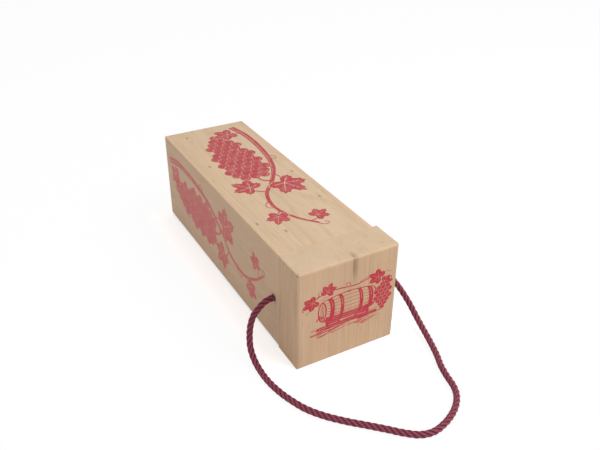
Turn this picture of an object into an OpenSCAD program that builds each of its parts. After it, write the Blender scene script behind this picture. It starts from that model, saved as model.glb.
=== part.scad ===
// Wooden wine box for one bottle, lying on its side.
// Four long boards and an end board make the body, a solid block with two battens is its lid,
// and a rope through both side boards, knotted inside, is its handle.
// X runs across the lid's face, Y from the lid to the far end, Z up. The origin is on the
// ground, under the middle of the box.

/* [Body] */
// Length of the box from the lid's face to the far end
box_l = 350; // [300:5:450]
// Width of the body outside
body_w = 108.5; // [95:0.5:150]
// Height of the body outside
body_h = 111.5; // [95:0.5:150]
// Thickness of the four long boards
wall_t = 6; // [4:0.5:10]
// Thickness of the board that closes the far end
end_t = 8; // [5:0.5:20]
// Radius of the eased outer edges
edge_r = 1.4; // [0.5:0.1:3]

/* [Lid] */
// Thickness of the solid lid block
lid_t = 39; // [25:1:60]
// Radius of the rounded edges round the lid's face
lid_face_r = 3; // [1.5:0.5:6]
// How far the lid stands out past the right side board
lid_proud_side = 5; // [0.5:0.5:6]
// How far the lid reaches below the bottom board
lid_proud_under = 2.5; // [0.5:0.5:6]
// Height of each batten on the lid's inner face
batten_h = 10; // [6:0.5:16]
// How far the battens reach into the body
batten_depth = 12; // [8:1:30]
// Play between a batten and the boards around it
batten_play = 0.5; // [0.3:0.1:2]
// Bevel on the leading edges of the battens
batten_bevel = 2; // [0.5:0.1:2.5]

/* [Brads] */
// Diameter of a brad's shank
brad_d = 1.4; // [1:0.1:2.4]
// Diameter of a brad's head
brad_head_d = 2.8; // [2.5:0.1:4]
// Thickness of a brad's head
brad_head_t = 0.7; // [0.4:0.1:1.2]
// How deep a brad goes into the lid block
brad_bite = 14; // [8:1:20]
// Number of brads in each batten
brads_per_batten = 3; // [2:1:5]
// Distance of the outer brads from the ends of a batten
brad_end_gap = 14; // [6:1:25]
// Clearance all round a brad's shank and past its point
brad_clear = 0.05; // [0.02:0.01:0.2]

/* [Rope] */
// Diameter of the rope
rope_d = 6.9; // [4.5:0.1:7]
// Diameter of the rope's hole in each side board
rope_hole_d = 8; // [7.5:0.5:10]
// Distance from the mouth of the body to the middle of the rope's hole
rope_hole_inset = 9; // [7:1:20]
// Height of the rope's hole above the underside of the body
rope_hole_up = 55.5; // [45:0.5:65]
// Thickness of the rope where it is drawn tight in a knot
knot_strand_d = 4.8; // [4:0.1:5]
// How far a knot stands out from the side board
knot_depth = 10; // [9.5:0.5:12]
// Length of the tail below a knot, from the rope's centreline
knot_tail_l = 13; // [10:1:16]

/* [Hidden] */

pine = [0.86, 0.74, 0.59];
pine_shade = [0.80, 0.67, 0.52];
steel = [0.68, 0.68, 0.70];
rope_red = [0.45, 0.09, 0.17];

// Places across the box
lid_w = body_w + lid_proud_side;
left_x = -lid_w / 2;
right_x = left_x + body_w;
inner_left_x = left_x + wall_t;
inner_w = body_w - 2 * wall_t;

// Places up the box
lid_h = body_h + lid_proud_under;
body_z = lid_proud_under;
inner_z = body_z + wall_t;
inner_h = body_h - 2 * wall_t;
hole_z = body_z + rope_hole_up;

// Places along the box
face_y = -box_l / 2;
mouth_y = face_y + lid_t;
far_y = box_l / 2;
board_l = box_l - lid_t;
hole_y = mouth_y + rope_hole_inset;

// How far a cutting shape runs past the face that it cuts
over = 1;

// The battens fill the mouth from board to board, less the play
batten_w = inner_w - 2 * batten_play;
batten_x = inner_left_x + batten_play;
lower_batten_z = inner_z + batten_play;
upper_batten_z = inner_z + inner_h - batten_play - batten_h;

// The middles of the brads along a batten
brad_step = (batten_w - 2 * brad_end_gap) / (brads_per_batten - 1);
brad_xs = [for (i = [0 : brads_per_batten - 1]) batten_x + brad_end_gap + i * brad_step];
brad_zs = [lower_batten_z + batten_h / 2, upper_batten_z + batten_h / 2];

// The free rope: across from the middle of the lid, along from its face, and the height
// of the rope's underside above the ground
rope_route = [
  [-62.3, 48, 54.4], [-68.6, 48, 51.9], [-74.3, 47.8, 47.2], [-79.6, 47.6, 41.2],
  [-84, 45.9, 32.8], [-87.2, 42.4, 23.4], [-90, 35.4, 13.5], [-90.8, 25.4, 5.5],
  [-90.4, 13.2, 1], [-89.7, -2.2, 0], [-87, -19.3, 0], [-82.3, -35.4, 0], [-75.4, -51.8, 0],
  [-64.6, -67.4, 0], [-51.3, -81.8, 0], [-37.6, -94.7, 0], [-25.7, -106, 0], [-13.6, -118, 0],
  [-2.4, -126.4, 0], [10, -129.4, 0], [23.1, -127, 0], [35.6, -122, 0], [47, -114.8, 0],
  [56.4, -105.2, 0], [62.2, -93.9, 0], [65.8, -78.7, 0], [70, -64.9, 0], [76, -50.6, 0.5],
  [81.6, -32.4, 2], [85.5, -13.7, 5.5], [87.6, 1.2, 10.5], [87.9, 14, 18], [85.9, 25.3, 26.5],
  [80.2, 33.1, 37.4], [73.4, 41.2, 46.4], [65.2, 46.4, 52.3], [57.2, 47.9, 54.4]
];
rope_sides = 10;
rope_r = rope_d / 2;
placed_route = [for (p = rope_route) [p[0], face_y + p[1], p[2] + rope_r]];
rope_path = concat(
  [[inner_left_x, hole_y, hole_z], [left_x, hole_y, hole_z]],
  placed_route,
  [[right_x, hole_y, hole_z], [right_x - wall_t, hole_y, hole_z]]
);

// A vector made one unit long
function unit(v) = v / norm(v);

// The direction of a path at its point i, square to the boards at its two ends
function heading(path, i) =
  i < 2 ? [-1, 0, 0]
  : i > len(path) - 3 ? [-1, 0, 0]
  : unit(path[i + 1] - path[i - 1]);

// A vector made square to a direction
function square_to(v, along) = unit(v - (v * along) * along);

// The side vectors of a path, each the one before it turned as little as can be
function side_vectors(path) = [
  for (i = 0, v = square_to([0, 0, 1], heading(path, 0));
       i < len(path);
       i = i + 1, v = square_to(v, heading(path, min(i, len(path) - 1))))
    v
];

// One ring of points round a path
function ring(centre, along, side, r, sides) =
  let (third = cross(along, side))
  [for (k = [0 : sides - 1])
    centre + r * (cos(360 * k / sides) * side + sin(360 * k / sides) * third)];

// A tube along a path, as one solid with flat ends
module tube(path, r, sides) {
  rings = len(path);
  vectors = side_vectors(path);
  points = [for (i = [0 : rings - 1])
    each ring(path[i], heading(path, i), vectors[i], r, sides)];
  walls = [for (i = [0 : rings - 2], k = [0 : sides - 1])
    let (a = i * sides + k, b = i * sides + (k + 1) % sides)
    each [[a, b, a + sides], [b, b + sides, a + sides]]];
  first_cap = [for (k = [1 : sides - 2]) [0, k + 1, k]];
  last = (rings - 1) * sides;
  last_cap = [for (k = [1 : sides - 2]) [last, last + k, last + k + 1]];
  polyhedron(points, concat(walls, first_cap, last_cap), convexity = 10);
}

// A rectangle whose corners are eased where round_left or round_right says so
module eased_rectangle(w, h, r, round_left = true, round_right = true) {
  left = round_left ? r : 0;
  right = round_right ? r : 0;
  translate([left, 0]) square([w - left - right, h]);
  translate([0, r]) square([w, h - 2 * r]);
  if (round_left) {
    for (y = [r, h - r]) {
      translate([r, y]) circle(r, $fn = 48);
    }
  }
  if (round_right) {
    for (y = [r, h - r]) {
      translate([w - r, y]) circle(r, $fn = 48);
    }
  }
}

// A block whose long edges are eased and whose face has rounded edges. Its back stays sharp
// where it meets the body.
module eased_block(size, r, face_r) {
  intersection() {
    translate([size[0], 0, 0])
      rotate([0, 0, 90])
        linear_extrude(size[2]) eased_rectangle(size[1], size[0], face_r, true, false);
    translate([0, size[1], 0])
      rotate([90, 0, 0])
        linear_extrude(size[1]) eased_rectangle(size[0], size[2], r);
    rotate([90, 0, 90])
      linear_extrude(size[0]) eased_rectangle(size[1], size[2], face_r, true, false);
  }
}

// A side board stands the full height of the body and carries the rope in one hole
module side_board(x, outside_left) {
  difference() {
    translate([x, far_y, body_z])
      rotate([90, 0, 0])
        linear_extrude(board_l)
          eased_rectangle(wall_t, body_h, edge_r, outside_left, !outside_left);
    translate([x - over, hole_y, hole_z])
      rotate([0, 90, 0])
        cylinder(h = wall_t + 2 * over, d = rope_hole_d, $fn = 48);
  }
}

module left_side_board() {
  color(pine_shade) side_board(left_x, true);
}

module right_side_board() {
  color(pine_shade) side_board(right_x - wall_t, false);
}

// The top and bottom boards are glued between the side boards
module level_board(z) {
  translate([inner_left_x, mouth_y, z]) cube([inner_w, board_l, wall_t]);
}

module top_board() {
  color(pine) level_board(body_z + body_h - wall_t);
}

module bottom_board() {
  color(pine) level_board(body_z);
}

// The end board is glued inside the four long boards, flush with their ends
module end_board() {
  color(pine)
    translate([inner_left_x, far_y - end_t, inner_z]) cube([inner_w, end_t, inner_h]);
}

// One brad hole in a batten or in the lid block
module brad_hole(x, z) {
  translate([x, mouth_y - brad_bite - brad_clear, z])
    rotate([-90, 0, 0])
      cylinder(h = brad_bite + batten_depth + over, d = brad_d + 2 * brad_clear, $fn = 24);
}

// The lid is one block of solid wood
module lid_block() {
  color(pine)
    difference() {
      translate([left_x, face_y, 0]) eased_block([lid_w, lid_t, lid_h], edge_r, lid_face_r);
      for (x = brad_xs, z = brad_zs) {
        brad_hole(x, z);
      }
    }
}

// A batten is bevelled where it leads into the mouth of the body
module batten(z) {
  lead = batten_depth - batten_bevel;
  difference() {
    translate([batten_x, mouth_y, z])
      rotate([90, 0, 90])
        linear_extrude(batten_w)
          polygon([
            [0, 0], [lead, 0], [batten_depth, batten_bevel],
            [batten_depth, batten_h - batten_bevel], [lead, batten_h], [0, batten_h]
          ]);
    for (x = brad_xs) {
      brad_hole(x, z + batten_h / 2);
    }
  }
}

module upper_batten() {
  color(pine_shade) batten(upper_batten_z);
}

module lower_batten() {
  color(pine_shade) batten(lower_batten_z);
}

// A brad lies along the box, with its head on the batten's inner face
module brad(x, z) {
  translate([x, mouth_y - brad_bite, z])
    rotate([-90, 0, 0]) {
      translate([0, 0, brad_d])
        cylinder(h = brad_bite + batten_depth - brad_d, d = brad_d, $fn = 24);
      cylinder(h = brad_d, d1 = brad_d / 3, d2 = brad_d, $fn = 24);
      translate([0, 0, brad_bite + batten_depth])
        cylinder(h = brad_head_t, d = brad_head_d, $fn = 32);
    }
}

module batten_brads() {
  color(steel)
    for (x = brad_xs, z = brad_zs) {
      brad(x, z);
    }
}

module rope_handle() {
  color(rope_red) tube(rope_path, rope_r, rope_sides);
}

// A knot is two turns round the rope's end and a short tail, drawn up against the board.
// It is modelled growing along +X from the board's inner face.
module knot() {
  strand_r = knot_strand_d / 2;
  turn_r = rope_hole_d / 2 - 0.4;
  first = strand_r;
  second = knot_depth - strand_r;
  rotate([0, 90, 0]) cylinder(h = second, r = rope_r, $fn = 40);
  for (x = [first, second]) {
    translate([x, 0, 0])
      rotate([0, 90, 0])
        rotate_extrude($fn = 48)
          translate([turn_r, 0]) circle(strand_r, $fn = 24);
  }
  translate([second, 0, 0]) sphere(strand_r, $fn = 32);
  translate([(first + second) / 2, 0, -knot_tail_l])
    cylinder(h = knot_tail_l, r = strand_r, $fn = 32);
}

module left_rope_knot() {
  color(rope_red) translate([inner_left_x, hole_y, hole_z]) knot();
}

module right_rope_knot() {
  color(rope_red)
    translate([right_x - wall_t, hole_y, hole_z]) mirror([1, 0, 0]) knot();
}

left_side_board();
right_side_board();
top_board();
bottom_board();
end_board();
lid_block();
upper_batten();
lower_batten();
batten_brads();
rope_handle();
left_rope_knot();
right_rope_knot();
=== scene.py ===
"""Wooden wine box with a pull-off lid and a rope handle: its looks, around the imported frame."""

import itertools
import logging
import math
import random
from dataclasses import dataclass, field
from enum import Enum

import bpy
from mathutils import Matrix, Vector
from mathutils.geometry import delaunay_2d_cdt


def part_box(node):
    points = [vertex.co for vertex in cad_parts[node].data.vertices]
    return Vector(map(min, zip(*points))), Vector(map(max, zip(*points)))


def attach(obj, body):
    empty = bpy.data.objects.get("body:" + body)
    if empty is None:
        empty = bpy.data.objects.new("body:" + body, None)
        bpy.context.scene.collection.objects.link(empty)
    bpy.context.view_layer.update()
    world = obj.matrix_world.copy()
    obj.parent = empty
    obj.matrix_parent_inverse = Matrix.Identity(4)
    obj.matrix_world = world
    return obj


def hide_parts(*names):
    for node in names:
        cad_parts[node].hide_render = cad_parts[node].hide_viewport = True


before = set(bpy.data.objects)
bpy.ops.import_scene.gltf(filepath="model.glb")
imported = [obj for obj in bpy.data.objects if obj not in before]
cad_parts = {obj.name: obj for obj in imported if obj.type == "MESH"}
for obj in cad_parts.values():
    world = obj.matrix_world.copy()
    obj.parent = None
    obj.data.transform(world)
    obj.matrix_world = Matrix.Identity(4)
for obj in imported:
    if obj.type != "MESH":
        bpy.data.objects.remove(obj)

LOG = logging.getLogger("wine_box")
MM = 0.001
BOX_BODY = "box"
LID_BODY = "lid"

# How far a print stands out of the wood and how deep its back lies in it, in millimetres
PRINT_PROUD = 0.08
PRINT_SUNK = 0.05

Colour = tuple[float, float, float]
Point = tuple[float, float, float]
Flat = tuple[float, float]

# Where the box's outer faces and the rope's holes lie in the frame, in millimetres
LID_FRONT = -175.0
LEFT_SIDE = -56.75
BOX_TOP = 114.0
ROPE_HOLE: Flat = (-127.0, 58.0)

WHITE: Colour = (1.0, 1.0, 1.0)
NOISE_MIDDLE: Colour = (0.5, 0.5, 0.5)


def srgb(red: int, green: int, blue: int) -> Colour:
    """The linear colour of an sRGB one that is written from 0 to 255."""
    return tuple(((v / 255 + 0.055) / 1.055) ** 2.4 for v in (red, green, blue))


class Value:
    """A number, vector or colour that a node gives, which plain arithmetic works on."""

    def __init__(self, graph: "Graph", socket: bpy.types.NodeSocket) -> None:
        """Wraps one output of a node in the graph."""
        self.graph = graph
        self.socket = socket

    def __add__(self, other: object) -> "Value":
        """This and another one."""
        return self.graph.math("ADD", self, other)

    def __sub__(self, other: object) -> "Value":
        """This less another one."""
        return self.graph.math("SUBTRACT", self, other)

    def __mul__(self, other: object) -> "Value":
        """This times another one."""
        return self.graph.math("MULTIPLY", self, other)

    def __truediv__(self, other: object) -> "Value":
        """This over another one."""
        return self.graph.math("DIVIDE", self, other)

    def parts(self) -> list["Value"]:
        """The three numbers of this vector."""
        node = self.graph.node("ShaderNodeSeparateXYZ", {0: self})
        return [Value(self.graph, output) for output in node.outputs]

    def remap(self, low: float, high: float, to_low: float = 0.0, to_high: float = 1.0) -> "Value":
        """This number carried smoothly from one range to another, and held at its ends."""
        inputs = dict(enumerate((self, low, high, to_low, to_high)))
        return self.graph.add("ShaderNodeMapRange", inputs, interpolation_type="SMOOTHSTEP")

    def noise(
        self, scale: float, detail: float = 2.0, roughness: float = 0.5, output: int = 0
    ) -> "Value":
        """Soft noise over this place: a number, or a colour from output 1."""
        inputs = {"Vector": self, "Scale": scale, "Detail": detail, "Roughness": roughness}
        return self.graph.add("ShaderNodeTexNoise", inputs, output)

    def blend(self, first: object, second: object, mode: str = "MIX") -> "Value":
        """Two colours mixed by this share."""
        inputs = {0: self, 6: first, 7: second}
        return self.graph.add("ShaderNodeMix", inputs, 2, data_type="RGBA", blend_type=mode)

    def between(self, first: object, second: object) -> "Value":
        """Two numbers mixed by this share."""
        return self.graph.add("ShaderNodeMix", {0: self, 2: first, 3: second})

    def bump(self, strength: float, depth: float) -> "Value":
        """The normals of this fine relief, whose depth is in millimetres."""
        inputs = {"Height": self, "Strength": strength, "Distance": depth * MM}
        return self.graph.add("ShaderNodeBump", inputs)


def is_vector(term: object) -> bool:
    """Whether a term is a vector or colour, and not a number.

    Args:
        term: a plain or computed value.

    Returns:
        True for a vector or colour.
    """
    if isinstance(term, Value):
        return term.socket.type in ("VECTOR", "RGBA")
    return isinstance(term, tuple)


class Graph:
    """Adds nodes to one shader or geometry tree and joins them up."""

    def __init__(self, tree: bpy.types.NodeTree) -> None:
        """Starts on a tree, which keeps the nodes that it has."""
        self.tree = tree

    def feed(self, node: bpy.types.Node, inputs: dict) -> None:
        """Puts plain or computed values into a node's sockets.

        Args:
            node: the node that takes them.
            inputs: the values, each under its socket's name or place.
        """
        for key, value in inputs.items():
            socket = node.inputs[key]
            if isinstance(value, Value):
                self.tree.links.new(value.socket, socket)
            else:
                socket.default_value = (*value, 1.0) if socket.type == "RGBA" else value

    def node(self, kind: str, inputs: dict | None = None, **settings: object) -> bpy.types.Node:
        """Adds one node.

        Args:
            kind: Blender's name for the node's type.
            inputs: what goes into its sockets, by name or place.
            settings: the node's own properties.

        Returns:
            The new node.
        """
        node = self.tree.nodes.new(kind)
        for name, value in settings.items():
            setattr(node, name, value)
        self.feed(node, inputs or {})
        return node

    def add(
        self, kind: str, inputs: dict | None = None, output: int | str = 0, **settings: object
    ) -> Value:
        """Adds one node as node does, and gives one of its outputs."""
        return Value(self, self.node(kind, inputs, **settings).outputs[output])

    def math(self, operation: str, *terms: object) -> Value:
        """One sum or comparison: of vectors if the first term is one, or else of numbers.

        Args:
            operation: Blender's name for it.
            terms: plain or computed values.

        Returns:
            The result.
        """
        inputs = dict(enumerate(terms))
        if not is_vector(terms[0]):
            return self.add("ShaderNodeMath", inputs, operation=operation)
        if operation == "MULTIPLY" and not is_vector(terms[1]):
            inputs = {0: terms[0], "Scale": terms[1]}
            return self.add("ShaderNodeVectorMath", inputs, operation="SCALE")
        output = "Value" if operation in ("LENGTH", "DISTANCE") else "Vector"
        return self.add("ShaderNodeVectorMath", inputs, output, operation=operation)

    def joined(self, *numbers: object) -> Value:
        """A vector out of three numbers."""
        return self.add("ShaderNodeCombineXYZ", dict(enumerate(numbers)))

    def store(self, geometry: Value, name: str, value: Value) -> Value:
        """Geometry whose points keep a value under a name.

        Args:
            geometry: the geometry without it.
            name: the name.
            value: the value, worked out at each point.

        Returns:
            The new geometry.
        """
        kind = "FLOAT_VECTOR" if is_vector(value) else "FLOAT"
        inputs = {"Geometry": geometry, "Name": name, "Value": value}
        return self.add("GeometryNodeStoreNamedAttribute", inputs, data_type=kind, domain="POINT")


def new_material(name: str) -> tuple[bpy.types.Material, Graph, bpy.types.Node]:
    """A material with a plain surface.

    Args:
        name: the material's name.

    Returns:
        The material, the graph of its tree and its surface node.
    """
    material = bpy.data.materials.new(name)
    material.use_nodes = True
    return material, Graph(material.node_tree), material.node_tree.nodes["Principled BSDF"]


def new_object(name: str, data: bpy.types.ID) -> bpy.types.Object:
    """An object of its own in the scene.

    Args:
        name: the object's name.
        data: its mesh, curve, lamp or camera.

    Returns:
        The new object.
    """
    thing = bpy.data.objects.new(name, data)
    bpy.context.scene.collection.objects.link(thing)
    return thing


def object_millimetres(graph: Graph) -> Value:
    """The place on the piece in the shared frame, in millimetres."""
    return graph.add("ShaderNodeTexCoord", output="Object") * (1 / MM)


class Grain(Enum):
    """Which way the fibres run: the two directions across them, then the one along them."""

    LENGTHWISE = (0, 2, 1)
    UPRIGHT = (0, 1, 2)
    CROSSWISE = (1, 2, 0)


class Edge(Enum):
    """How a board's edges look."""

    # Lightened along the edges, partly as wear and partly as painted highlight
    WORN = "worn"
    GLUED = "glued"


@dataclass(frozen=True)
class Pattern:
    """Soft noise that is drawn out along the fibres, by its waves per millimetre each way."""

    across: float
    along: float
    detail: float = 2.0
    roughness: float = 0.5

    def over(self, turned: Value, output: int = 0) -> Value:
        """Its number or colour over a place that is turned to the grain."""
        place = turned * (self.across, self.across, self.along)
        return place.noise(1.0, self.detail, self.roughness, output)


FIBRES = Pattern(1.5, 0.045, 4.0, 0.6)
WANDER = Pattern(0.02, 0.006)
PORES = Pattern(2.6, 0.10, 2.0, 0.6)
FLECKS = Pattern(0.16, 0.045, 2.0, 0.6)
CLOUDS = Pattern(0.05, 0.014, 3.0, 0.6)
BANDS = Pattern(0.34, 0.005, 3.0, 0.65)
WARMTH = Pattern(0.022, 0.008)


@dataclass(frozen=True)
class Mark:
    """A small knot, streak or knock, or a patch of painted shade: an oval in the wood, in
    millimetres.
    """

    centre: Point
    reach: Point
    depth: float = 0.7

    def on(self, place: Value, colour: Value, stain: Colour) -> Value:
        """The colour at a place with this mark in it, with a ragged edge.

        Args:
            place: the place, in millimetres.
            colour: the colour without the mark.
            stain: the mark's colour: a knot's or stain's own, or that of painted shade.

        Returns:
            The new colour.
        """
        away = (place + (place.noise(0.35, output=1) - NOISE_MIDDLE) - self.centre) / self.reach
        share = place.graph.math("LENGTH", away).remap(0.15, 1.0, self.depth, 0.0)
        return share.blend(colour, stain)


@dataclass(frozen=True)
class PineFinish:
    """Bare pine, with its growth rings as a solid pattern round a pith line."""

    name: str
    grain: Grain
    pith: Flat
    pale: Colour = srgb(214, 188, 158)
    end: Colour = srgb(206, 174, 138)
    dark: Colour = srgb(184, 146, 108)
    # The colour of knots, marks and glued joints, and of the painted shade round a rope hole
    knot: Colour = srgb(112, 78, 52)
    fleck: Colour = srgb(196, 163, 118)
    warm: Colour = (1.0, 0.99, 0.955)
    ring_width: float = 2.6
    ring_strength: float = 0.17
    ring_sway: float = 14.0
    years_drift: float = 7.0
    band: float = 0.03
    end_calm: float = 0.8
    saw_depth: float = 1.4
    lean: Flat = (0.03, 0.02)
    marks: tuple[Mark, ...] = ()
    edge: Edge = Edge.WORN
    sawn: bool = False

    def material(self, low: Vector, high: Vector) -> bpy.types.Material:
        """Builds the finish for one board.

        Args:
            low: the board's lowest corner, in millimetres.
            high: its highest corner.

        Returns:
            The new material.
        """
        material, graph, surface = new_material(self.name)
        place = object_millimetres(graph)
        turned = self.turned(place)
        rings = self.rings(turned)
        fibre = FIBRES.over(turned)
        ends = self.end_share(graph)
        colour = self.colour(turned, rings, fibre, ends)
        for mark in self.marks:
            colour = mark.on(place, colour, self.knot)
        height = (rings * 0.5 + fibre) * (ends * -self.end_calm + 1.0)
        if self.sawn:
            height = self.saw_marks(place, turned) * self.saw_depth + height
        graph.feed(surface, {
            "Base Color": self.edged(place, colour, low, high),
            "Roughness": fibre.remap(0.2, 0.8, 0.52, 0.70),
            "Normal": height.bump(0.35, 0.12),
            "Specular IOR Level": 0.35,
        })
        return material

    def turned(self, place: Value) -> Value:
        """A vector as two numbers across the fibres and one along them."""
        numbers = place.parts()
        return place.graph.joined(*[numbers[i] for i in self.grain.value])

    def end_share(self, graph: Graph) -> Value:
        """1 on a face that cuts across the fibres, and 0 on one along them."""
        normal = self.turned(graph.add("ShaderNodeNewGeometry", output="True Normal"))
        return graph.math("ABSOLUTE", normal.parts()[2]).remap(0.45, 0.95)

    def rings(self, turned: Value) -> Value:
        """How far into the dark late wood of its year a point lies.

        Args:
            turned: the place, turned to the grain.

        Returns:
            A number from 0 to 1.
        """
        graph = turned.graph
        sways = ((WANDER.over(turned, output=1) - NOISE_MIDDLE) * self.ring_sway).parts()
        *across, along = turned.parts()
        levels = [
            along * lean + number + sway - pith
            for number, pith, lean, sway in zip(across, self.pith, self.lean, sways)
        ]
        radius = graph.math("SQRT", levels[0] * levels[0] + levels[1] * levels[1])
        drift = graph.joined(radius * 0.06, 0.0, 0.0).noise(1.0) * self.years_drift
        year = graph.math("FRACT", radius * (1 / self.ring_width) + drift)
        rise = year.remap(0.25, 0.90)
        return rise * rise * year.remap(0.90, 1.0, 1.0, 0.0)

    def saw_marks(self, place: Value, turned: Value) -> Value:
        """The fine ridges that a saw leaves across the fibres."""
        wave = place.noise(0.12, 1.0) * 6.0 + turned.parts()[2] * 4.2
        return place.graph.math("SINE", wave)

    def colour(self, turned: Value, rings: Value, fibre: Value, ends: Value) -> Value:
        """The wood's colour before its marks and edges.

        Args:
            turned: the place, turned to the grain.
            rings: how far it lies in late wood.
            fibre: the fine threads along the grain.
            ends: 1 on end grain, and 0 elsewhere.

        Returns:
            The colour.
        """
        thread = ends.between(fibre.remap(0.3, 0.7, 0.55, 1.25), 0.9)
        late = rings * thread * self.ring_strength
        colour = late.blend(ends.blend(self.pale, self.end), self.dark)
        pores = PORES.over(turned).remap(0.60, 0.78, 0.0, 0.22) * (ends * -self.end_calm + 1.0)
        colour = pores.blend(colour, self.dark)
        colour = FLECKS.over(turned).remap(0.54, 0.76, 0.0, 0.45).blend(colour, self.fleck)
        tone = CLOUDS.over(turned).remap(0.3, 0.7, 0.965, 1.03)
        bands = BANDS.over(turned).remap(0.3, 0.7, 1 - self.band, 1 + self.band)
        colour = colour * (tone * ends.between(bands, 1.0))
        return WARMTH.over(turned).remap(0.35, 0.65).blend(colour, self.warm, "MULTIPLY")

    def edged(self, place: Value, colour: Value, low: Vector, high: Vector) -> Value:
        """The colour with a board's edges: glued ones darkened as joints, worn ones lightened,
        partly as wear and partly as painted highlight.

        Args:
            place: the place, in millimetres.
            colour: the colour away from the edges.
            low: the board's lowest corner.
            high: its highest corner.

        Returns:
            The new colour.
        """
        math_of = place.graph.math
        outer = math_of("SUBTRACT", tuple(high), place)
        x, y, z = math_of("MINIMUM", place - tuple(low), outer).parts()
        further = math_of("MINIMUM", math_of("MAXIMUM", x, y), z)
        gap = math_of("MAXIMUM", math_of("MINIMUM", x, y), further)
        if self.edge is Edge.GLUED:
            return gap.remap(0.05, 0.55, 0.45, 0.0).blend(colour, self.knot)
        # Painted highlight and wear: a lighter band along the worn edges
        wear_and_highlight = (place.noise(0.25, 3.0, 0.6) * -3.0 + (gap + 1.2)).remap(0.0, 1.4, 0.55, 0.0)
        return wear_and_highlight.blend(colour, tuple(min(1.0, v * 1.13) for v in self.pale))


@dataclass(frozen=True)
class SteelFinish:
    """Plain drawn steel."""

    name: str = "plain_steel"
    base: Colour = (0.34, 0.34, 0.37)
    dull: Colour = (0.20, 0.19, 0.19)

    def material(self) -> bpy.types.Material:
        """Builds the finish.

        Returns:
            The new material.
        """
        material, graph, surface = new_material(self.name)
        streak = (object_millimetres(graph) * (6.0, 0.6, 6.0)).noise(1.0, 3.0)
        graph.feed(surface, {
            "Base Color": streak.remap(0.3, 0.7, 0.0, 0.5).blend(self.base, self.dull),
            "Roughness": streak.remap(0.3, 0.7, 0.26, 0.46),
            "Normal": streak.bump(0.2, 0.05),
            "Metallic": 1.0,
        })
        return material


@dataclass(frozen=True)
class InkFinish:
    """Matt red ink on bare wood, thin enough that the fibres show through here and there."""

    name: str
    base: Colour = srgb(180, 48, 68)
    wood: Colour = srgb(214, 180, 150)
    thin: float = 0.08
    grain: Grain = Grain.LENGTHWISE

    def material(self) -> bpy.types.Material:
        """Builds the finish.

        Returns:
            The new material.
        """
        material, graph, surface = new_material(self.name)
        place = object_millimetres(graph)
        waves = tuple(0.08 if i == self.grain.value[2] else 1.8 for i in range(3))
        fibre = (place * waves).noise(1.0, 3.0, 0.6)
        cloud = place.noise(0.07, 3.0, 0.6).remap(0.35, 0.7, -0.05, 0.08)
        bare = fibre.remap(0.35, 0.75, -0.10, 0.18) + self.thin + cloud
        graph.feed(surface, {
            "Base Color": graph.add("ShaderNodeClamp", {0: bare}).blend(self.base, self.wood),
            "Roughness": fibre.remap(0.3, 0.7, 0.50, 0.66),
            "Normal": fibre.bump(0.3, 0.08),
            "Specular IOR Level": 0.35,
        })
        return material


@dataclass(frozen=True)
class RopeFinish:
    """Silky twisted yarn in dark wine red, with painted shade in the grooves between its strands
    and yarns and painted highlights on its yarns.
    """

    name: str = "wine_red_yarn"
    groove: Colour = srgb(80, 4, 22)
    deep: Colour = srgb(112, 34, 54)
    yarn_highlight: Colour = srgb(182, 86, 112)
    sheen: Colour = (1.0, 0.62, 0.74)
    yarns: int = 7

    def material(self) -> bpy.types.Material:
        """Builds the finish, which reads where a point lies round and along its strand.

        Returns:
            The new material.
        """
        material, graph, surface = new_material(self.name)
        kind = "ShaderNodeAttribute"
        around = graph.add(kind, output="Vector", attribute_name="around")
        along = graph.add(kind, output="Fac", attribute_name="along")
        crown = graph.add(kind, output="Fac", attribute_name="crown")
        cosine, sine, _ = around.parts()
        place = graph.joined(cosine * 5.0, sine * 5.0, along * (0.9 / MM))
        fibre = place.noise(1.0, 3.0, 0.65)
        angle = graph.math("ARCTAN2", sine, cosine)
        # Painted highlight and shade: each yarn's crown is coloured lighter and the dip between
        # yarns darker, mixed with the fibres
        ridge = graph.math("COSINE", angle * float(self.yarns)).remap(-1.0, 0.6)
        share = ridge * fibre.remap(0.25, 0.75, 0.45, 1.0)
        colour = share.blend(self.deep, self.yarn_highlight)
        graph.feed(surface, {
            # Painted shade: the grooves between the strands, where crown is low, are coloured
            # darker
            "Base Color": crown.remap(0.72, 1.02).blend(self.groove, colour),
            "Roughness": fibre.remap(0.3, 0.7, 0.36, 0.52),
            "Normal": (fibre * 0.6 + ridge).bump(0.45, 0.12),
            "Specular IOR Level": 0.30,
            "Sheen Weight": 0.10,
            "Sheen Roughness": 0.4,
            "Sheen Tint": self.sheen,
        })
        return material


def paint_node(name: str, material: bpy.types.Material) -> None:
    """Gives a piece of the frame its finish.

    Args:
        name: the piece's name.
        material: the finish.
    """
    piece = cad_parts[name]
    if not piece.material_slots:
        piece.data.materials.append(material)
    for slot in piece.material_slots:
        slot.material = material


def corners_mm(node: str) -> tuple[Vector, Vector]:
    """The lowest and highest corners of a piece of the frame, in millimetres."""
    low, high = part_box(node)
    return low / MM, high / MM


def dress_board(name: str, finish: PineFinish) -> None:
    """Gives a board of the frame a pine finish with edges where its own are."""
    paint_node(name, finish.material(*corners_mm(name)))


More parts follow.
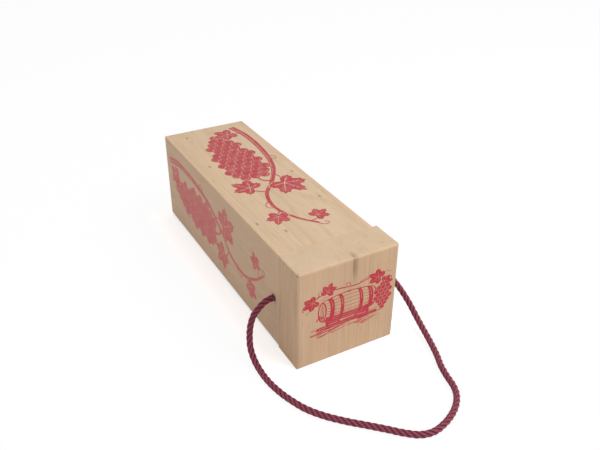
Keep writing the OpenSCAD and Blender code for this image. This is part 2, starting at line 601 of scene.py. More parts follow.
@dataclass
class BoxBody:
    """The five boards of the body, which the frame holds."""

    far_reach: float = 30.0
    pins_on_top: tuple[Flat, ...] = (
        (-34.2, 156.5), (-40.6, 67.3), (39.1, 11.8), (36.7, -55.2), (-48.8, -76.1), (-29.4, -101.5),
    )
    pins_on_left: tuple[Flat, ...] = ((-103.3, 69.6), (106.4, 31.5))
    pins_on_right: tuple[Flat, ...] = ((154.0, 111.0), (-96.8, 111.0), (20.0, 60.0))
    pin_depth: float = 0.6
    knot_below: Mark = Mark((18.0, 60.0, 4.0), (5.0, 8.0, 9.0))

    def dress(self) -> None:
        """Gives each board its own run of the same timber."""
        self.dress_side("left_side_board", self.pins_on_left, outside=-1)
        self.dress_side("right_side_board", self.pins_on_right, outside=1)
        top = corners_mm("top_board")[1].z
        pins = [Mark((x, y, top), (2.0, 4.6, 3.0), self.pin_depth) for x, y in self.pins_on_top]
        dress_board("top_board", PineFinish(
            "pine_top", Grain.LENGTHWISE, pith=(22.0, 20.0), marks=tuple(pins), edge=Edge.GLUED,
            ring_width=3.3, ring_strength=0.21,
        ))
        dress_board("bottom_board", PineFinish(
            "pine_bottom", Grain.LENGTHWISE, pith=(-30.0, 90.0), edge=Edge.GLUED,
            marks=(self.knot_below,),
        ))
        dress_board("end_board", PineFinish(
            "pine_end", Grain.CROSSWISE, pith=(230.0, 30.0), edge=Edge.GLUED, ring_width=3.4
        ))

    def dress_side(self, name: str, pins: tuple[Flat, ...], outside: int) -> None:
        """Dresses one side board: its outer edges are lightened, partly as wear and partly as
        painted highlight, its inner ones aren't, and painted shade rings its rope hole.

        Args:
            name: the board's name.
            pins: the pins on its outer face, along the box and up.
            outside: -1 for the left side of the box and 1 for the right.
        """
        low, high = corners_mm(name)
        face = low.x if outside < 0 else high.x
        if outside < 0:
            high.x += self.far_reach
        else:
            low.x -= self.far_reach
        marks = [Mark((face, y, z), (3.0, 4.6, 2.0), self.pin_depth) for y, z in pins]
        # Painted shade: a darker ring round the rope's hole
        marks.append(Mark((face, *ROPE_HOLE), (9.0, 5.6, 5.6), 0.45))
        finish = PineFinish(
            "pine_" + name, Grain.LENGTHWISE, pith=(face - outside * 70.0, 35.0 - outside * 20.0),
            pale=srgb(215, 186, 156), marks=tuple(marks), ring_width=2.3, ring_strength=0.14,
        )
        paint_node(name, finish.material(low, high))


@dataclass
class PullLid:
    """The solid lid block with its two battens and their brads, which the frame holds."""

    streak: Mark = Mark((6.2, -172.0, 104.0), (4.6, 13.0, 30.0), 0.42)
    crack: Mark = Mark((4.6, -174.0, 106.0), (1.2, 7.0, 19.0), 0.50)
    corner_knock: Mark = Mark((-55.6, -173.6, 112.8), (2.6, 3.0, 2.4), 0.60)

    def dress(self) -> None:
        """Gives the block, the battens and the brads their finishes."""
        dress_board("lid_block", PineFinish(
            "pine_lid_block", Grain.UPRIGHT, pith=(-290.0, -190.0),
            pale=srgb(213, 181, 149), end=srgb(211, 187, 158), ring_width=2.4,
            marks=(self.streak, self.crack, self.corner_knock), ring_strength=0.22, band=0.05,
        ))
        for name, pith in (("upper_batten", (-90.0, 60.0)), ("lower_batten", (-160.0, 50.0))):
            dress_board(name, PineFinish(
                "pine_" + name, Grain.CROSSWISE, pith=pith, pale=srgb(212, 182, 142), sawn=True
            ))
        paint_node("batten_brads", SteelFinish().material())


def smooth_line(points: list[Point], step: float) -> list[Vector]:
    """A smooth line through points, with places on it about a step apart.

    Args:
        points: the points.
        step: the step, in their unit.

    Returns:
        The places, with both ends.
    """
    places = [Vector(point) for point in points]
    row = [places[0] * 2 - places[1], *places, places[-1] * 2 - places[-2]]
    line = []
    for before, start, end, after in zip(row, row[1:], row[2:], row[3:]):
        parts = max(1, round((end - start).length / step))
        for i in range(parts):
            t = i / parts
            line.append(0.5 * (
                2 * start
                + (end - before) * t
                + (2 * before - 5 * start + 4 * end - after) * t ** 2
                + (3 * start - before - 3 * end + after) * t ** 3
            ))
    return [*line, places[-1]]


def off(start: Flat, angle: float, reach: float) -> Flat:
    """The point at a reach from a start, at an angle in radians."""
    return start[0] + reach * math.cos(angle), start[1] + reach * math.sin(angle)


def line_length(line: list[Vector]) -> float:
    """The length of a line of points."""
    return sum((b - a).length for a, b in zip(line, line[1:]))


@dataclass
class RopeHandle:
    """The four-strand rope through both side boards, with a knot inside each of them."""

    diameter: float = 6.9
    firmness: float = 0.97
    strands: int = 4
    lay: float = 24.5
    yarn_lay: float = 26.0
    knot_strand: float = 4.8
    strand_share: float = 0.47
    points_per_yarn: int = 3
    yarn_groove: float = 0.10
    step: float = 0.8
    outer_x: Flat = (LEFT_SIDE, 51.75)
    inner_x: Flat = (-50.75, 45.75)

    # Across from the middle of the lid, along from its face, and the height of the rope's
    # underside above the ground
    route = (
        (-62.3, 48, 54.4), (-68.6, 48, 51.9), (-74.3, 47.8, 47.2), (-79.6, 47.6, 41.2),
        (-84, 45.9, 32.8), (-87.2, 42.4, 23.4), (-90, 35.4, 13.5), (-90.8, 25.4, 5.5),
        (-90.4, 13.2, 1), (-89.7, -2.2, 0), (-87, -19.3, 0), (-82.3, -35.4, 0), (-75.4, -51.8, 0),
        (-64.6, -67.4, 0), (-51.3, -81.8, 0), (-37.6, -94.7, 0), (-25.7, -106, 0),
        (-13.6, -118, 0), (-2.4, -126.4, 0), (10, -129.4, 0), (23.1, -127, 0), (35.6, -122, 0),
        (47, -114.8, 0), (56.4, -105.2, 0), (62.2, -93.9, 0), (65.8, -78.7, 0), (70, -64.9, 0),
        (76, -50.6, 0.5), (81.6, -32.4, 2), (85.5, -13.7, 5.5), (87.6, 1.2, 10.5), (87.9, 14, 18),
        (85.9, 25.3, 26.5), (80.2, 33.1, 37.4), (73.4, 41.2, 46.4), (65.2, 46.4, 52.3),
        (57.2, 47.9, 54.4),
    )

    def build(self) -> None:
        tree = self.lay_tree(RopeFinish().material())
        line = self.centreline()
        left, right = self.knot_line(self.inner_x[0], 1), self.knot_line(self.inner_x[1], -1)
        for name, node, way, diameter in (
            ("laid_rope_handle", "rope_handle", line, self.diameter),
            ("tied_left_knot", "left_rope_knot", left, self.knot_strand),
            ("tied_right_knot", "right_rope_knot", right, self.knot_strand),
        ):
            piece = self.laid(tree, name, way, diameter)
            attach(piece, BOX_BODY)
            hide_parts(node)
        line_length(line) * MM
        [tuple(p * MM) for p in line]
        LOG.info("rope of %.1f mm with two knots", line_length(line))

    def centreline(self) -> list[Vector]:
        """The rope's centreline from the one board's inner face to the other's.

        Returns:
            Its points, in millimetres.
        """
        y, z = ROPE_HOLE
        free = [(x, LID_FRONT + a, under + self.diameter / 2) for x, a, under in self.route]
        left = [(self.inner_x[0], y, z), (self.outer_x[0], y, z)]
        right = [(self.outer_x[1], y, z), (self.inner_x[1], y, z)]
        return smooth_line([*left, *free, *right], 1.0)

    def knot_line(self, start: float, side: int) -> list[Vector]:
        """The strand of one knot: out of the hole, twice round itself, and down as a tail.

        Args:
            start: where the board's inner face is, across the box.
            side: 1 where the inside is to the right of the board, -1 where it is to the left.

        Returns:
            The points of its centreline, in millimetres.
        """
        y, z = ROPE_HOLE
        turns, radius, near, far = 1.75, 3.7, 2.4, 7.4
        local = [(-0.5, 0.0, 0.0), (2.0, 0.0, 0.0), (4.6, 0.2, 0.0), (6.8, 1.4, 0.8)]
        count = 28
        for i in range(count + 1):
            t = i / count
            angle = math.radians(60) + math.tau * turns * t
            out = far + (near - far) * t
            local.append((out, radius * math.cos(angle), radius * math.sin(angle)))
        last = local[-1]
        local += [
            (last[0] + 0.5, last[1] + 0.6, last[2] - 2.5),
            (last[0] + 1.8, 3.4, -6.0),
            (last[0] + 2.4, 3.2, -9.5),
            (last[0] + 2.6, 3.0, -13.0),
        ]
        return smooth_line([(start + side * u, y + v, z + w) for u, v, w in local], 0.7)

    def lay_tree(self, yarn: bpy.types.Material) -> bpy.types.NodeTree:
        """Builds the tree that lays the strands round a line.

        Args:
            yarn: the strands' material.

        Returns:
            The geometry tree, with the rope's sizes as named inputs.
        """
        tree = bpy.data.node_groups.new("lay_strands", "GeometryNodeTree")
        face = tree.interface
        face.new_socket("Geometry", in_out="INPUT", socket_type="NodeSocketGeometry")
        for name in ("Rope Radius", "Lay Length", "Yarn Lay", "Step"):
            face.new_socket(name, in_out="INPUT", socket_type="NodeSocketFloat")
        face.new_socket("Geometry", in_out="OUTPUT", socket_type="NodeSocketGeometry")
        graph = Graph(tree)
        outputs = graph.node("NodeGroupInput").outputs
        given = {output.name: Value(graph, output) for output in outputs}
        radius = given["Rope Radius"]
        strand = radius * self.strand_share
        profile = self.strand_profile(graph, strand)
        along = graph.add("GeometryNodeSplineParameter", output="Length")
        turn = along / given["Lay Length"] * math.tau
        twist = along / given["Yarn Lay"] * -math.tau
        normal = graph.add("GeometryNodeInputNormal")
        side = graph.math("CROSS_PRODUCT", graph.add("GeometryNodeInputTangent"), normal)
        position = graph.add("GeometryNodeInputPosition")
        inputs = {"Curve": given["Geometry"], "Length": given["Step"]}
        line = graph.add("GeometryNodeResampleCurve", inputs, mode="LENGTH")
        line = graph.store(graph.store(line, "along", along), "core", position)
        joined = graph.node("GeometryNodeJoinGeometry")
        for i in range(self.strands):
            angle = turn + math.tau * i / self.strands
            out = normal * graph.math("COSINE", angle) + side * graph.math("SINE", angle)
            inputs = {"Geometry": line, "Offset": out * (radius - strand)}
            moved = graph.add("GeometryNodeSetPosition", inputs)
            tilted = graph.add("GeometryNodeSetCurveTilt", {"Curve": moved, "Tilt": twist})
            inputs = {"Curve": tilted, "Profile Curve": profile, "Fill Caps": True}
            graph.feed(joined, {0: graph.add("GeometryNodeCurveToMesh", inputs)})
        # How far out from the rope's core each point lies: the finish paints shade into the grooves
        # between strands by it
        core = graph.add(
            "GeometryNodeInputNamedAttribute", {"Name": "core"}, data_type="FLOAT_VECTOR"
        )
        crown = graph.math("DISTANCE", position, core) / radius
        rope = graph.store(Value(graph, joined.outputs[0]), "crown", crown)
        rope = graph.add("GeometryNodeSetShadeSmooth", {"Geometry": rope})
        rope = graph.add("GeometryNodeRealizeInstances", {"Geometry": rope})
        rope = graph.add("GeometryNodeSetMaterial", {"Geometry": rope, "Material": yarn})
        graph.node("NodeGroupOutput", {0: rope})
        return tree

    def strand_profile(self, graph: Graph, strand: Value) -> Value:
        """The outline of one strand: a ring of yarns, with a groove between each two.

        Args:
            graph: the tree's graph.
            strand: the strand's radius.

        Returns:
            The closed curve.
        """
        count = RopeFinish().yarns * self.points_per_yarn
        inputs = {"Resolution": count, "Radius": strand}
        circle = graph.add("GeometryNodeCurvePrimitiveCircle", inputs, mode="RADIUS")
        place = graph.add("GeometryNodeInputPosition")
        index = graph.add("GeometryNodeInputIndex") + 1.0
        step = graph.math("MODULO", index, float(self.points_per_yarn))
        in_groove = graph.math("COMPARE", step, 0.0, 0.1)
        inputs = {"Geometry": circle, "Offset": place * (in_groove * -self.yarn_groove)}
        grooved = graph.add("GeometryNodeSetPosition", inputs)
        return graph.store(grooved, "around", graph.math("NORMALIZE", place))

    def laid(
        self, tree: bpy.types.NodeTree, name: str, line: list[Vector], diameter: float
    ) -> bpy.types.Object:
        """Lays a rope of one diameter along a line, as a plain mesh.

        Args:
            tree: the tree that lays the strands.
            name: the piece's name.
            line: the points of its centreline, in millimetres.
            diameter: the rope's diameter, in millimetres.

        Returns:
            The new piece.
        """
        curve = bpy.data.curves.new(name + "_line", "CURVE")
        curve.dimensions = "3D"
        spline = curve.splines.new("POLY")
        spline.points.add(len(line) - 1)
        for point, place in zip(spline.points, line):
            point.co = (*(place * MM), 1.0)
            point.radius = 1.0
        guide = new_object(name + "_guide", curve)
        modifier = guide.modifiers.new("lay", "NODES")
        modifier.node_group = tree
        share = diameter / self.diameter
        sizes = {
            "Rope Radius": self.firmness * diameter / 2 * MM,
            "Lay Length": self.lay * share * MM,
            "Yarn Lay": self.yarn_lay * share * MM,
            "Step": self.step * share * MM,
        }
        for item in tree.interface.items_tree:
            if item.in_out == "INPUT" and item.name in sizes:
                modifier[item.identifier] = sizes[item.name]
        bpy.context.view_layer.update()
        graph = bpy.context.evaluated_depsgraph_get()
        mesh = bpy.data.meshes.new_from_object(guide.evaluated_get(graph), depsgraph=graph)
        bpy.data.objects.remove(guide)
        mesh.name = name
        return new_object(name, mesh)


@dataclass
class Stencil:
    """A flat drawing in millimetres. Each shape inks or clears what lies under it."""

    shapes: list[tuple[list[Flat], bool]] = field(default_factory=list)

    # The lobes of half a leaf and the notches between them: the angle from its tip, and how
    # far they reach as a share of its size
    lobes = ((0, 1.0), (24, 0.60), (52, 0.86), (82, 0.50), (114, 0.66), (146, 0.44), (172, 0.10))
    teeth = 4
    oval_points = 22

    def fill(self, outline: list[Flat], ink: bool = True) -> None:
        """Draws one closed shape."""
        area = sum(a[0] * b[1] - b[0] * a[1] for a, b in zip(outline, outline[1:] + outline[:1]))
        self.shapes.append((outline if area > 0 else outline[::-1], ink))

    def oval(self, centre: Flat, wide: float, high: float, ink: bool = True) -> None:
        """Draws an oval.

        Args:
            centre: its middle.
            wide: half its width.
            high: half its height.
            ink: whether it inks or clears.
        """
        turns = [math.tau * i / self.oval_points for i in range(self.oval_points)]
        x, y = centre
        self.fill([(x + wide * math.cos(a), y + high * math.sin(a)) for a in turns], ink)

    def stroke(
        self, points: list[Flat], start: float, end: float, ink: bool = True, step: float = 1.5
    ) -> None:
        """Draws a line through points, whose width runs from start to end.

        Args:
            points: the points.
            start: the width at the first one.
            end: the width at the last.
            ink: whether it inks or clears.
            step: how far apart the line's places are.
        """
        line = smooth_line([(x, y, 0.0) for x, y in points], step)
        last = len(line) - 1
        left, right = [], []
        for i, place in enumerate(line):
            ahead = (line[min(i + 1, last)] - line[max(i - 1, 0)]).normalized()
            half = (start + (end - start) * i / last) / 2
            left.append((place.x - ahead.y * half, place.y + ahead.x * half))
            right.append((place.x + ahead.y * half, place.y - ahead.x * half))
        self.fill(left + right[::-1], ink)

    def spiral(self, start: Flat, angle: float, size: float, turns: float, width: float) -> None:
        """Draws a tendril that starts at a point and curls in on itself.

        Args:
            start: the point.
            angle: its first direction, in degrees.
            size: its size.
            turns: how often it turns, less than 0 to the right.
            width: its width at the start.
        """
        points = [start]
        heading = math.radians(angle)
        count = 26
        for i in range(count - 1):
            t = i / count
            points.append(off(points[-1], heading, size * (1 - 0.75 * t) / 4))
            heading += math.tau * turns / count * (0.35 + 1.3 * t)
        self.stroke(points, width, width * 0.4, step=1.0)

    def berry(self, centre: Flat, radius: float) -> None:
        """Draws one berry, with a clear rim round it and a clear glint on it.

        Args:
            centre: its middle.
            radius: its radius.
        """
        self.oval(centre, radius + 0.45, radius + 0.45, ink=False)
        self.oval(centre, radius, radius * 1.03)
        x, y = centre
        spots = ((0.55, 0.05), (0.42, 0.42), (0.02, 0.62))
        glint = [(x - radius * left, y + radius * up) for left, up in spots]
        self.stroke(glint, radius * 0.08, radius * 0.16, ink=False, step=0.8)

    def bunch(self, top: Flat, rows: tuple[int, ...], radius: float) -> None:
        """Draws a bunch that hangs from its top, with so many berries in each row.

        Args:
            top: the middle of its upper end.
            rows: the berries in each row, from above.
            radius: a berry's radius.
        """
        chance = random.Random(11)
        for row in reversed(range(len(rows))):
            y = top[1] - radius * (1.0 + 1.62 * row)
            for i in range(rows[row]):
                x = top[0] + (i - (rows[row] - 1) / 2) * radius * 1.86
                x += chance.uniform(-0.10, 0.10) * radius
                self.berry((x, y + chance.uniform(-0.12, 0.12) * radius), radius)

    def leaf(self, base: Flat, angle: float, size: float, veins: bool = True) -> None:
        """Draws a toothed leaf of five lobes, with clear veins.

        Args:
            base: where its stalk meets it.
            angle: the way that its tip points, in degrees.
            size: how far the tip is from the base.
            veins: whether its side veins are drawn.
        """
        for grown, ink in ((size * 0.035 + 0.5, False), (0.0, True)):
            outline = []
            for sign in (1, -1):
                half = []
                for (start, here), (end, there) in zip(self.lobes, self.lobes[1:]):
                    for i in range(self.teeth):
                        t = i / self.teeth
                        eased = t ** 1.35 if there < here else 1 - (1 - t) ** 1.35
                        radius = (here + (there - here) * eased) * (0.93 if i % 2 else 1.04)
                        turn = math.radians(angle + sign * (start + (end - start) * t))
                        half.append(off(base, turn, radius * size + grown))
                outline += half if sign > 0 else half[:0:-1]
            self.fill(outline, ink)
        twigs = tuple(itertools.product((0.42, 0.64), (-38, 38))) if veins else ()
        for lobe, share in ((0, 0.90), (52, 0.74), (-52, 0.74), (114, 0.54), (-114, 0.54)):
            turn = math.radians(angle + lobe)
            reach = size * share
            vein = [base, off(base, turn, reach)]
            self.stroke(vein, size * 0.038, size * 0.012, ink=False, step=size / 5)
            for along, side in twigs:
                root = tuple(b + (t - b) * along for b, t in zip(*vein))
                twig = [root, off(root, turn + math.radians(side), reach * 0.24)]
                self.stroke(twig, size * 0.024, size * 0.008, ink=False, step=size / 5)

    def print_on(self, name: str, place: Matrix, ink: InkFinish, body: str) -> None:
        """Prints the inked parts on the wood, as one thin closed piece.

        Args:
            name: the piece's name.
            place: carries the drawing, in millimetres, to its face in the frame.
            ink: the piece's finish.
            body: the body that it rides.
        """
        points, faces = [], []
        for outline, _ in self.shapes:
            faces.append(list(range(len(points), len(points) + len(outline))))
            points += [Vector(p) for p in outline]
        flat, _, cells, _, _, owners = delaunay_2d_cdt(points, [], faces, 1, 1e-4, True)
        kept = [c for c, o in zip(cells, owners) if o and self.shapes[max(o)][1]]
        used = sorted({i for cell in kept for i in cell})
        number = {old: new for new, old in enumerate(used)}
        kept = [[number[i] for i in cell] for cell in kept]
        count = len(used)
        levels = (PRINT_PROUD, -PRINT_SUNK)
        vertices = [place @ Vector((*flat[i], level)) for level in levels for i in used]
        edges = {(a, b) for cell in kept for a, b in zip(cell, cell[1:] + cell[:1])}
        walls = [(b, a, a + count, b + count) for a, b in sorted(edges) if (b, a) not in edges]
        backs = [[i + count for i in reversed(cell)] for cell in kept]
        mesh = bpy.data.meshes.new(name)
        mesh.from_pydata(vertices, [], [*kept, *backs, *walls])
        mesh.validate()
        mesh.materials.append(ink.material())
        piece = new_object(name, mesh)
        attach(piece, body)
        LOG.info("%s: %d faces", name, len(mesh.polygons))


def face_place(origin: Point, right: Point, up: Point) -> Matrix:
    """Carries a drawing in millimetres to a face of the box, in metres."""
    turned = Matrix((right, up, Vector(right).cross(Vector(up)))).transposed().to_4x4()
    return Matrix.Translation(Vector(origin) * MM) @ turned @ Matrix.Scale(MM, 4)


@dataclass
class VinePrint(Stencil):
    """A hanging bunch of grapes on a vine, printed on two long faces."""

    scale: float = 1.09

    def draw(self) -> None:
        """Draws the vine upright, with its foot in the middle of the far end's edge."""
        cane = [
            (-25, 2), (-31, 32), (-30, 78), (-22, 118), (-6, 148), (12, 172), (17, 200),
            (8, 226), (-6, 244),
        ]
        self.stroke(cane, 7.5, 2.6)
        self.stroke([(x + 0.8, y - 1) for x, y in cane[:5]], 0.9, 0.3, ink=False)
        self.stroke([(-6, 148), (2, 143), (5, 132)], 2.6, 2.0)
        self.bunch((5, 136), (3, 4, 5, 4, 5, 4, 5, 4, 3, 4, 3, 2, 1), 5.6)
        for stalk, start, end, leaf in (
            ([(-14, 134), (-18, 146), (-16, 156)], 1.8, 1.3, ((-15, 158), 118, 27)),
            ([(9, 168), (19, 160), (22, 152)], 1.8, 1.3, ((21, 152), -48, 21)),
            ([(15, 206), (21, 213), (22, 218)], 1.4, 1.0, ((22, 216), 62, 16, False)),
            ([(-1, 238), (-9, 236), (-13, 232)], 1.2, 0.8, ((-12, 231), 205, 14, False)),
            ([(-28, 24), (-20, 18), (-14, 18)], 1.6, 1.0, ((-14, 18), 12, 20)),
        ):
            self.stroke(stalk, start, end)
            self.leaf(*leaf)
        self.spiral((-29, 92), 160, 6.0, -1.5, 1.2)
        self.spiral((16, 186), 20, 7.5, 1.6, 1.2)
        self.spiral((-6, 244), 110, 5.0, 1.4, 1.1)

    def build(self) -> None:
        """Prints the vine on the top board and the left side board."""
        self.draw()
        grown = Matrix.Diagonal((self.scale, self.scale, 1.0, 1.0))
        top = face_place((1.5, 163.0, BOX_TOP), (-1, 0, 0), (0, -1, 0)) @ grown
        self.print_on("vine_print_top", top, InkFinish("red_ink_top"), BOX_BODY)
        left = face_place((LEFT_SIDE, 165.0, 60.0), (0, 0, -1), (0, -1, 0)) @ grown
        # The left print's ink is paler and lets more wood through than the top's: partly fading,
        # partly painted glare on this face in shade
        self.print_on("vine_print_left", left, InkFinish(
            "red_ink_left", base=srgb(208, 62, 84), thin=0.26, wood=srgb(216, 186, 162)
        ), BOX_BODY)


@dataclass
class BarrelPrint(Stencil):
    """A barrel on its cradle among vines, drawn in lines on the lid's face."""

    half_length: float = 25.0
    belly: float = 15.5
    end: float = 12.0
    head_bulge: float = 4.2
    stretch: float = 1.14

    def radius(self, x: float) -> float:
        """The barrel's radius at a place along it."""
        return self.end + (self.belly - self.end) * (1 - (x / self.half_length) ** 2)

    def arc(self, x: float, low: float = -1.0, high: float = 1.0, count: int = 12) -> list[Flat]:
        """The seen half of a ring round the barrel, from below to above.

        Args:
            x: where the ring is.
            low: its lower end, from -1 to 1 of the radius.
            high: its upper end.
            count: how many parts it gets.

        Returns:
            Its points.
        """
        radius = self.radius(x)
        row = []
        for i in range(count + 1):
            a = math.asin(low) + (math.asin(high) - math.asin(low)) * i / count
            row.append((x + self.head_bulge * math.cos(a), radius * math.sin(a)))
        return row

    def stave(self, xs: list[float], level: float, reach: float = 1.0) -> list[Flat]:
        """A line along the barrel's side, at a level from -1 below to 1 above."""
        bulge = self.head_bulge * math.sqrt(1 - level ** 2)
        return [(x * reach + bulge, self.radius(x) * level) for x in xs]

    def draw_ground(self) -> None:
        """Draws loose hatching under the barrel."""
        chance = random.Random(5)
        for i in range(30):
            level = -17.0 - 0.42 * i
            middle = chance.uniform(-26, 26)
            reach = chance.uniform(5, 15) * (1.2 - i / 60)
            rise = 1.4 + chance.uniform(-0.4, 0.4)
            line = [(middle + reach * end, level + rise * end) for end in (-1, 0, 1)]
            self.stroke(line, 0.85, 0.3, step=4)

    def draw_cradle(self) -> None:
        """Draws the two chocks and the beam that carry the barrel."""
        for x in (-14.0, 15.0):
            self.fill([(x - 7, -19), (x + 7, -19), (x + 8.5, -8), (x - 8.5, -8)])
            self.stroke([(x - 4.5, -17.6), (x + 4.5, -17.6)], 0.8, 0.8, ink=False)
        self.fill([(-30, -22), (31, -22), (31, -18.6), (-30, -18.6)])
        self.stroke([(-28, -20.2), (5, -20.4)], 0.5, 0.3, ink=False, step=6)

    def draw_barrel(self) -> None:
        """Draws the staves, the hoops and the head with its tap."""
        half = self.half_length
        xs = [-half + 2 * half * i / 16 for i in range(17)]
        top = [(x, self.radius(x)) for x in xs]
        below = [(x, -y) for x, y in reversed(top)]
        far = self.arc(half)[::-1]
        self.fill([(x * 1.02, y * 1.05) for x, y in (*top, *far, *below)], ink=False)
        self.stroke([*top, *far[1:-1], *below], 0.9, 0.9, step=3)
        for level in (-0.93, -0.82, -0.70, -0.55, -0.38, -0.12, 0.18, 0.46, 0.72):
            line = self.stave(xs[::4], level, 1.0 if level > -0.5 else 0.7)
            self.stroke(line, 0.55, 0.4, step=5)
        self.fill([*self.stave(xs, -0.62), *below])
        for level in (-0.90, -0.76):
            self.stroke(self.stave(xs[1:-1:3], level), 0.4, 0.3, ink=False, step=5)
        for x, width in ((-21.0, 4.2), (-10.8, 3.4), (8.4, 3.4), (18.0, 4.4)):
            self.fill([*self.arc(x), *reversed(self.arc(x + width))])
            self.stroke(self.arc(x + width / 2, 0.1, 0.8), 0.5, 0.3, ink=False, step=3)
        head = (-half, 0.0)
        self.oval(head, self.head_bulge + 1.0, self.end + 0.6, ink=False)
        self.oval(head, self.head_bulge + 0.2, self.end)
        self.oval(head, self.head_bulge - 1.1, self.end - 1.8, ink=False)
        for x in (-1.3, 0.1, 1.5):
            reach = (self.end - 2.2) * math.sqrt(1 - (x / self.head_bulge) ** 2)
            self.stroke([(-half + x, -reach), (-half + x, reach)], 0.45, 0.45, step=6)
        self.oval((-half - 0.3, -6.6), 1.5, 1.7)
        self.stroke([(-half - 0.6, -6.6), (-half - 4.6, -7.0), (-half - 5.0, -9.6)], 1.5, 1.1)
        self.stroke([(-half - 2.6, -7), (-half - 2.6, -3.6)], 1.0, 1.6)
        self.oval((self.head_bulge * 0.2, self.belly - 0.2), 2.4, 0.9)

    def draw_vines(self) -> None:
        """Draws the bunch beside the barrel and the vine that runs over it."""
        self.stroke([(-44, 8), (-30, 19), (-12, 22), (8, 20), (26, 23), (42, 17)], 1.5, 0.9)
        self.stroke([(-41, 3), (-32, 12), (-16, 18.5)], 0.5, 0.3)
        self.stroke([(12, 22), (28, 27), (44, 23)], 0.5, 0.3)
        self.stroke([(36, 19), (37, 13), (36.5, 8)], 1.0, 0.8)
        self.leaf((31, 20), 150, 12.0, veins=False)
        self.leaf((37, 13), -12, 9.5, veins=False)
        self.leaf((-20, 22), 70, 10.5, veins=False)
        self.leaf((-34, 15), 205, 11.5, veins=False)
        self.bunch((36.5, 9), (3, 4, 3, 4, 3, 2, 1), 2.5)
        self.spiral((2, 21), 80, 3.2, 1.5, 0.6)
        self.spiral((-28, 19.5), 120, 3.0, -1.4, 0.6)
        self.spiral((44, 17), -60, 2.6, -1.4, 0.6)

    def build(self) -> None:
        """Draws the barrel about its middle, upright, and prints it on the lid's face."""
        self.draw_ground()
        self.draw_cradle()
        self.draw_barrel()
        self.draw_vines()
        place = face_place((-0.9, LID_FRONT, 62.0), (1, 0, 0), (0, 0, 1))
        place = place @ Matrix.Scale(self.stretch, 4, (1, 0, 0))
        ink = InkFinish("red_ink_lid", base=srgb(196, 44, 68), thin=0.02, grain=Grain.UPRIGHT)
        self.print_on("barrel_print_lid", place, ink, LID_BODY)


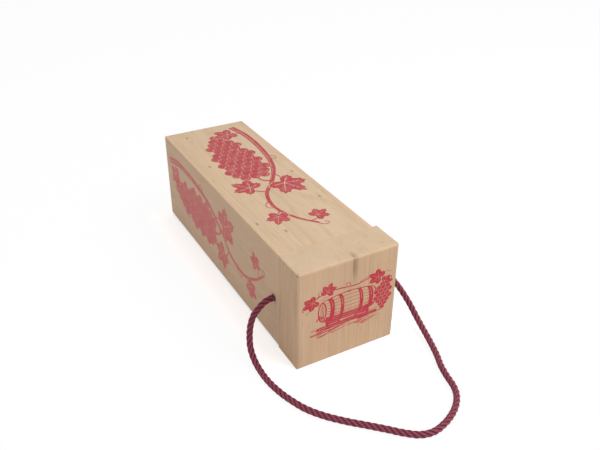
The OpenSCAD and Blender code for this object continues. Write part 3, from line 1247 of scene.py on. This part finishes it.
@dataclass
class Studio:
    """The camera, a white room with a pale floor, and soft light."""

    place: Point = (-0.30743, -0.62697, 0.47906)
    heading: float = 60.762
    pitch: float = 31.071
    roll: float = 0.388
    lens: float = 42.025
    sensor: float = 36.0
    nearest: float = 0.02
    floor_size: float = 8.0
    floor_tone: Colour = (0.87, 0.85, 0.84)
    footprint: Point = (57.0, 176.0, 0.0)
    shadow_reach: Flat = (8.0, 45.0)
    glow: Flat = (0.56, 0.93)
    cover: Flat = (0.90, 0.08)
    shadow_tint: Colour = (0.97, 1.0, 1.02)
    sky: float = 0.52
    sky_tint: Colour = (1.0, 0.96, 0.94)
    key_towards: Point = (0.37, -0.38, 0.85)
    key_distance: float = 1.8
    key_size: float = 1.3
    key_power: float = 18.2

    def build(self) -> None:
        """Sets up everything that isn't the box."""
        self.build_camera()
        self.build_room()
        self.build_floor()
        self.build_lamp()
        bpy.context.scene.view_settings.view_transform = "Standard"

    def build_camera(self) -> None:
        """Places the camera as the photograph has it."""
        camera = new_object("camera", bpy.data.cameras.new("camera"))
        camera.data.lens = self.lens
        camera.data.sensor_fit = "HORIZONTAL"
        camera.data.sensor_width = self.sensor
        camera.data.clip_start = self.nearest
        camera.matrix_world = Matrix.Translation(self.place)
        for axis, angle in (("Z", self.heading - 90), ("X", 90 - self.pitch), ("Z", self.roll)):
            camera.matrix_world @= Matrix.Rotation(math.radians(angle), 4, axis)
        bpy.context.scene.camera = camera

    def seen_share(self, graph: Graph) -> Value:
        """Whether something is seen, and doesn't only light the box.

        Args:
            graph: the graph that asks.

        Returns:
            1 for what the camera sees itself, in a gloss or through something, and else 0.
        """
        kinds = [f"Is {kind} Ray" for kind in ("Camera", "Glossy", "Transmission")]
        camera, *others = (graph.add("ShaderNodeLightPath", output=kind) for kind in kinds)
        return graph.math("MAXIMUM", camera, graph.math("MAXIMUM", *others))

    def build_room(self) -> None:
        """Makes the world white to look at, and a plain soft light otherwise."""
        world = bpy.data.worlds.new("white_room")
        bpy.context.scene.world = world
        world.use_nodes = True
        graph = Graph(world.node_tree)
        seen = self.seen_share(graph)
        graph.feed(world.node_tree.nodes["Background"], {
            "Color": seen.blend(self.sky_tint, WHITE),
            "Strength": seen.remap(0.0, 1.0, self.sky, 1.0),
        })

    def build_floor(self) -> None:
        """Lays a floor that looks white but for the shadow by the box, and lights the box."""
        half = self.floor_size / 2
        mesh = bpy.data.meshes.new("pale_floor")
        corners = [(-half, -half, 0), (half, -half, 0), (half, half, 0), (-half, half, 0)]
        mesh.from_pydata(corners, [], [(0, 1, 2, 3)])
        material, graph, surface = new_material("pale_floor")
        away = graph.math("ABSOLUTE", object_millimetres(graph)) - self.footprint
        away = graph.math("LENGTH", graph.math("MAXIMUM", away, (0.0, 0.0, 0.0)))
        near = away.remap(*self.shadow_reach)
        glow = {"Color": WHITE, "Strength": near.remap(0.0, 1.0, *self.glow)}
        glow = graph.add("ShaderNodeEmission", glow)
        white = graph.math("MULTIPLY", self.shadow_tint, near.remap(0.0, 1.0, *self.cover))
        white = graph.add("ShaderNodeBsdfDiffuse", {"Color": white})
        white = graph.add("ShaderNodeAddShader", {0: glow, 1: white})
        plain = graph.add("ShaderNodeBsdfDiffuse", {"Color": self.floor_tone})
        mixed = {0: self.seen_share(graph), 1: plain, 2: white}
        output = material.node_tree.nodes["Material Output"]
        graph.feed(output, {"Surface": graph.add("ShaderNodeMixShader", mixed)})
        graph.tree.nodes.remove(surface)
        mesh.materials.append(material)
        new_object("pale_floor", mesh)

    def build_lamp(self) -> None:
        """Hangs one wide soft lamp above the box, to its front and right."""
        data = bpy.data.lights.new("key_lamp", "AREA")
        data.shape = "DISK"
        data.size = self.key_size
        data.energy = self.key_power
        lamp = new_object("key_lamp", data)
        towards = Vector(self.key_towards).normalized()
        lamp.location = towards * self.key_distance
        lamp.rotation_euler = towards.to_track_quat("Z", "Y").to_euler()


def main() -> None:
    """Builds the whole scene in order and reports each piece."""
    logging.basicConfig(level=logging.INFO, format="%(name)s: %(message)s")
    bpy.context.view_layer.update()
    Studio().build()
    LOG.info("camera, room, floor and lamp")
    RopeHandle().build()
    BoxBody().dress()
    LOG.info("five boards")
    PullLid().dress()
    LOG.info("lid block, battens and brads")
    VinePrint().build()
    BarrelPrint().build()


if __name__ == "__main__":
    main()
